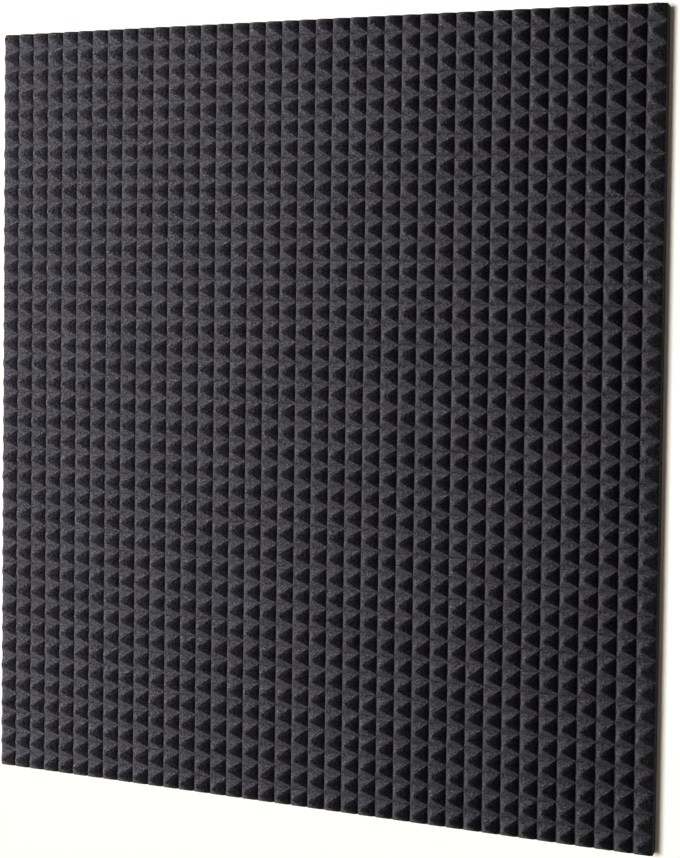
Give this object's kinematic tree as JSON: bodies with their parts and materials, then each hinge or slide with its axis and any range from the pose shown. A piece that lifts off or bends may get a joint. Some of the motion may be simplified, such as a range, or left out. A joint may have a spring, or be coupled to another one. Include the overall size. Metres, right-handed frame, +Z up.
{
  "type": "acoustic foam panel",
  "caption": "Square tile of charcoal open-cell foam with a face of small pyramids, held to a wall by squares of double-sided tape.",
  "frame": {"origin": "on the wall plane, behind the middle of the square tile, which is the outer face of the centre pad", "axes": "+Z is up, the pyramids point to -Y, +Y goes into the wall, and +X is to the right as seen from the front"},
  "size_m": [0.5, 0.015, 0.5],
  "materials": {
    "foam": "matt charcoal open-cell polyurethane foam with fine pores",
    "tape": "off-white closed-cell foam tape with a smooth adhesive face"
  },
  "bodies": {
    "root": {"foam_tile": "foam", "pad_centre": "tape", "pad_top_left": "tape", "pad_top_right": "tape", "pad_bottom_left": "tape", "pad_bottom_right": "tape"}
  },
  "joints": []
}
